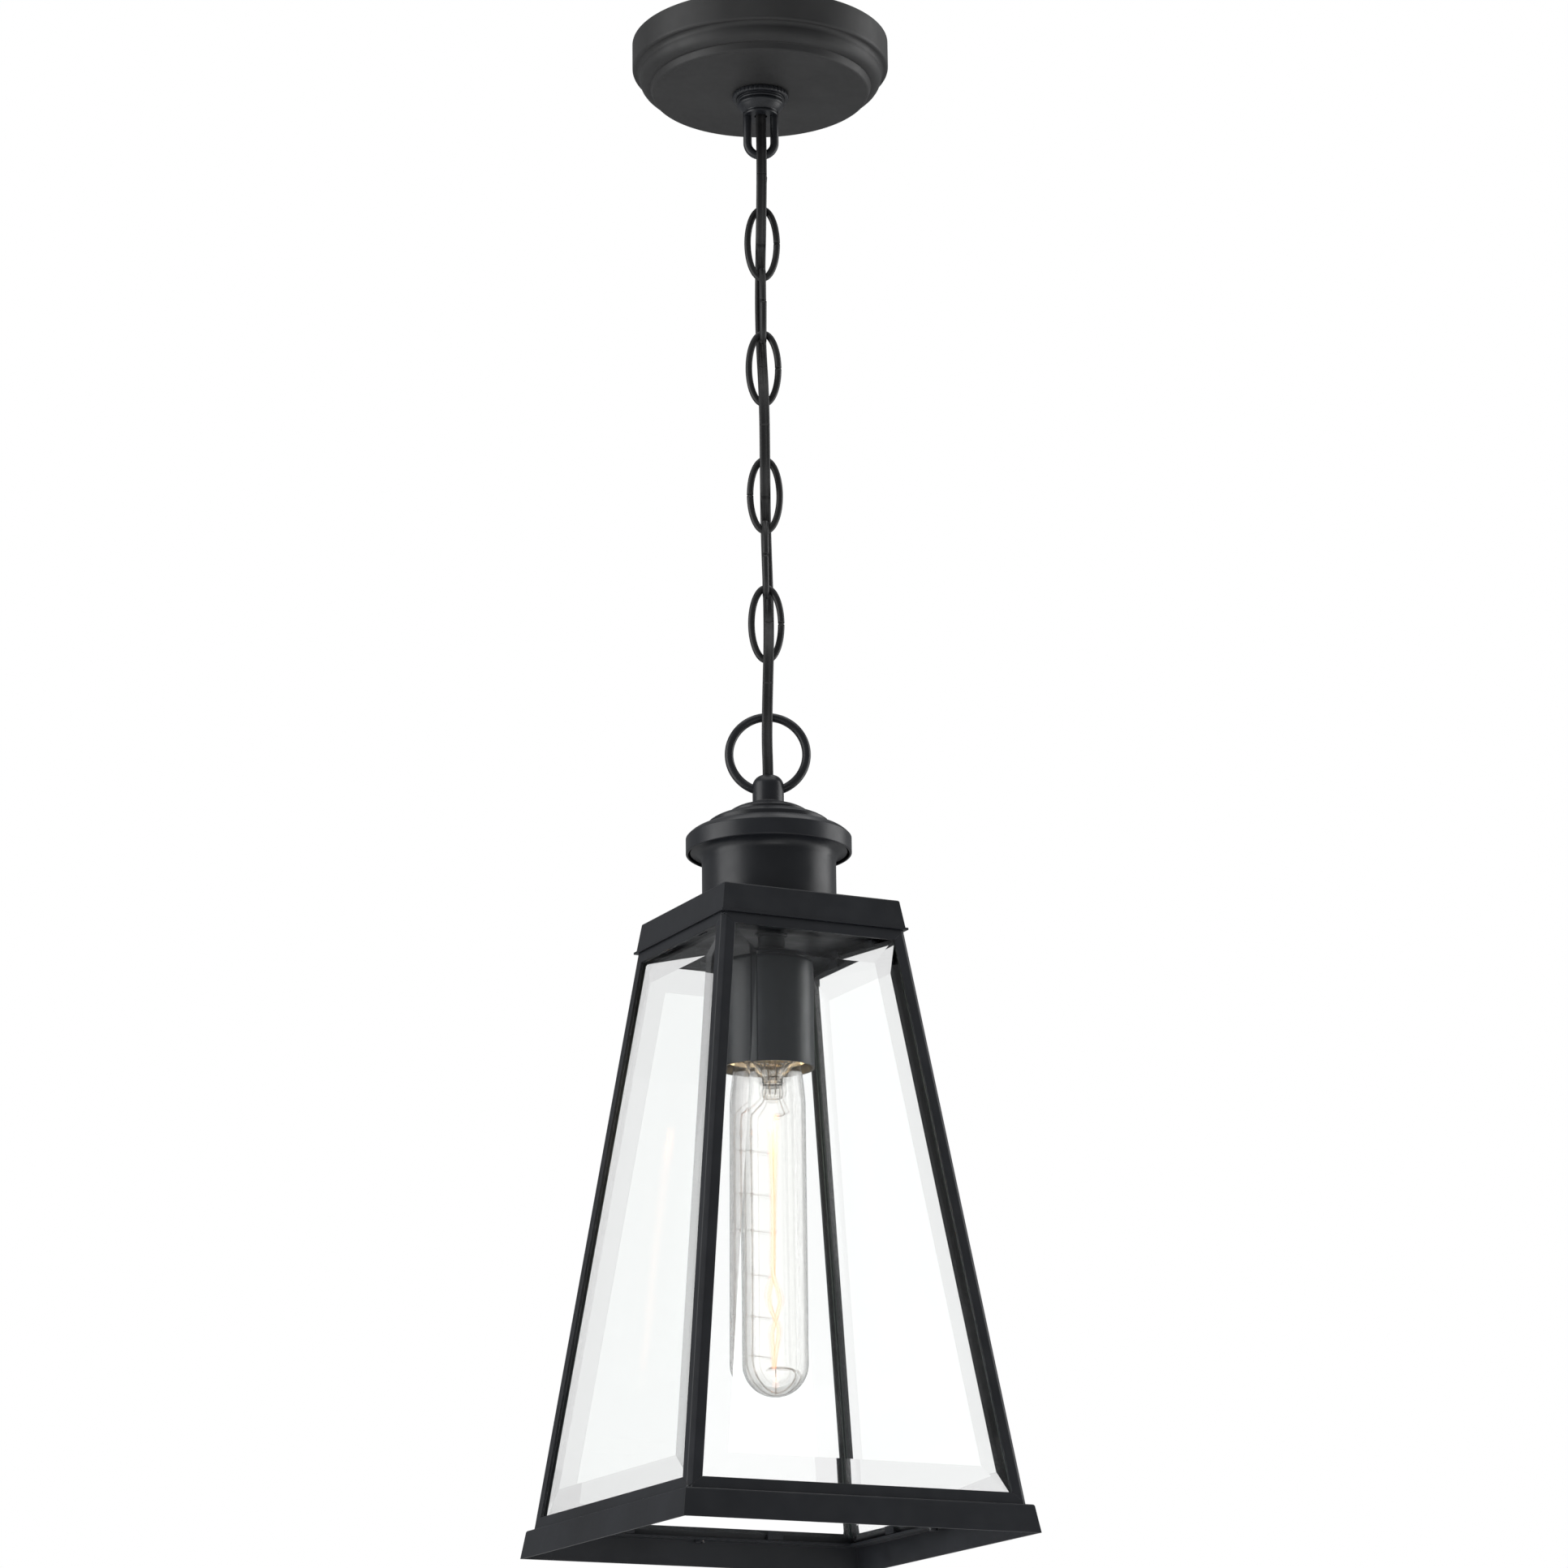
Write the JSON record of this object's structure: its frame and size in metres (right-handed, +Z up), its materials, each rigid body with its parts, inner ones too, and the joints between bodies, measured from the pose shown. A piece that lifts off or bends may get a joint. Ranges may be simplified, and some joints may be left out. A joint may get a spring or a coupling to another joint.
{
  "type": "hanging lantern",
  "caption": "Tapered square glass lantern lamp with an open base, hung from a ceiling canopy by a link chain with the power cord woven through it.",
  "frame": {"origin": "on the ceiling plane, at the centre of the canopy and of the crossbar's two slots", "axes": "+Z up out of the canopy, towards the ceiling; X and Y square to the lantern's glass sides"},
  "size_m": [0.1734, 0.1734, 0.7625],
  "materials": {
    "black_paint": "satin black enamel",
    "charcoal_paint": "matt charcoal powder coat",
    "zinc_steel": "zinc plated",
    "green_screw": "green dye on zinc",
    "brass": "bright",
    "solder": "dull solder",
    "porcelain": "glazed cream",
    "black_glass": "black vitrite",
    "panel_glass": "clear, bevelled",
    "lamp_glass": "clear, thin",
    "press_glass": "clear, pressed",
    "support_wire": "drawn wire",
    "filament": "glowing",
    "cord_jacket": "moulded black jacket",
    "wire_nut": "moulded orange"
  },
  "bodies": {
    "ceiling_mount": {"mounting_crossbar": "zinc_steel", "threaded_nipple": "brass", "nipple_nuts_and_washer": "zinc_steel", "ground_screw": "green_screw", "canopy_loop": "black_paint", "power_cord_top": "cord_jacket", "wire_nuts": "wire_nut"},
    "canopy": {"canopy": "charcoal_paint"},
    "canopy_collar": {"canopy_collar": "black_paint"},
    "link_1": {"chain_link_1": "black_paint", "power_cord_1": "cord_jacket"},
    "link_2": {"chain_link_2": "black_paint", "power_cord_2": "cord_jacket"},
    "link_3": {"chain_link_3": "black_paint", "power_cord_3": "cord_jacket"},
    "link_4": {"chain_link_4": "black_paint", "power_cord_4": "cord_jacket"},
    "link_5": {"chain_link_5": "black_paint", "power_cord_5": "cord_jacket"},
    "link_6": {"chain_link_6": "black_paint", "power_cord_6": "cord_jacket"},
    "link_7": {"chain_link_7": "black_paint", "power_cord_7": "cord_jacket"},
    "link_8": {"chain_link_8": "black_paint", "power_cord_8": "cord_jacket"},
    "link_9": {"chain_link_9": "black_paint", "power_cord_9": "cord_jacket"},
    "lantern": {"lantern_loop": "black_paint", "small_cap_disc": "black_paint", "large_cap_disc": "black_paint", "cap": "black_paint", "neck": "black_paint", "roof_box": "black_paint", "ceiling_plate": "black_paint", "hanging_tube": "zinc_steel", "hanging_tube_nuts": "zinc_steel", "stem": "black_paint", "socket_cup": "black_paint", "socket_body": "porcelain", "socket_screw_shell": "brass", "socket_contact": "brass", "corner_posts": "black_paint", "top_rails": "black_paint", "bottom_rails": "black_paint", "glass_front": "panel_glass", "glass_right": "panel_glass", "glass_back": "panel_glass", "glass_left": "panel_glass", "glass_clips": "black_paint", "base_skirt": "black_paint", "base_screws": "black_paint", "power_cord_bottom": "cord_jacket"},
    "lamp_carrier": {"lamp_contact": "solder"},
    "lamp": {"lamp_insulator": "black_glass", "lamp_screw_shell": "brass", "lamp_glass": "lamp_glass", "lamp_mount": "press_glass", "filament_supports": "support_wire", "filament": "filament"}
  },
  "joints": [
    {"name": "link_1_swing", "type": "hinge", "parent": "ceiling_mount", "child": "link_1", "pos_m": [0, 0, -0.058], "axis": [0.8988, -0.4384, 0], "range_deg": [-15, 15]},
    {"name": "link_2_swing", "type": "hinge", "parent": "link_1", "child": "link_2", "pos_m": [0, 0, -0.08945], "axis": [0.4384, 0.8988, 0], "range_deg": [-15, 15]},
    {"name": "link_3_swing", "type": "hinge", "parent": "link_2", "child": "link_3", "pos_m": [0, 0, -0.12135], "axis": [0.8988, -0.4384, 0], "range_deg": [-15, 15]},
    {"name": "link_4_swing", "type": "hinge", "parent": "link_3", "child": "link_4", "pos_m": [0, 0, -0.15325], "axis": [0.4384, 0.8988, 0], "range_deg": [-15, 15]},
    {"name": "link_5_swing", "type": "hinge", "parent": "link_4", "child": "link_5", "pos_m": [0, 0, -0.18515], "axis": [0.8988, -0.4384, 0], "range_deg": [-15, 15]},
    {"name": "link_6_swing", "type": "hinge", "parent": "link_5", "child": "link_6", "pos_m": [0, 0, -0.21705], "axis": [0.4384, 0.8988, 0], "range_deg": [-15, 15]},
    {"name": "link_7_swing", "type": "hinge", "parent": "link_6", "child": "link_7", "pos_m": [0, 0, -0.24895], "axis": [0.8988, -0.4384, 0], "range_deg": [-15, 15]},
    {"name": "link_8_swing", "type": "hinge", "parent": "link_7", "child": "link_8", "pos_m": [0, 0, -0.28085], "axis": [0.4384, 0.8988, 0], "range_deg": [-15, 15]},
    {"name": "link_9_swing", "type": "hinge", "parent": "link_8", "child": "link_9", "pos_m": [0, 0, -0.31275], "axis": [0.8988, -0.4384, 0], "range_deg": [-15, 15]},
    {"name": "lantern_swing", "type": "hinge", "parent": "link_9", "child": "lantern", "pos_m": [0, 0, -0.34465], "axis": [0.4384, 0.8988, 0], "range_deg": [-15, 15]},
    {"name": "canopy_drop", "type": "slide", "parent": "ceiling_mount", "child": "canopy", "axis": [0, 0, 1], "range_m": [-0.009, 0]},
    {"name": "collar_turn", "type": "hinge", "parent": "canopy", "child": "canopy_collar", "pos_m": [0, 0, -0.0276], "axis": [0, 0, 1], "range_deg": [0, 2170]},
    {"name": "lamp_drop", "type": "slide", "parent": "lantern", "child": "lamp_carrier", "axis": [0, 0, 1], "range_m": [-0.0254, 0]},
    {"name": "lamp_turn", "type": "hinge", "parent": "lamp_carrier", "child": "lamp", "pos_m": [0, 0, -0.48], "axis": [0, 0, 1], "range_deg": [0, 2530]}
  ],
  "couplings": [
    {"joint": "collar_turn", "follows": "canopy_drop", "rad_per_m": -4188.8},
    {"joint": "lamp_turn", "follows": "lamp_drop", "rad_per_m": -1730.9}
  ]
}
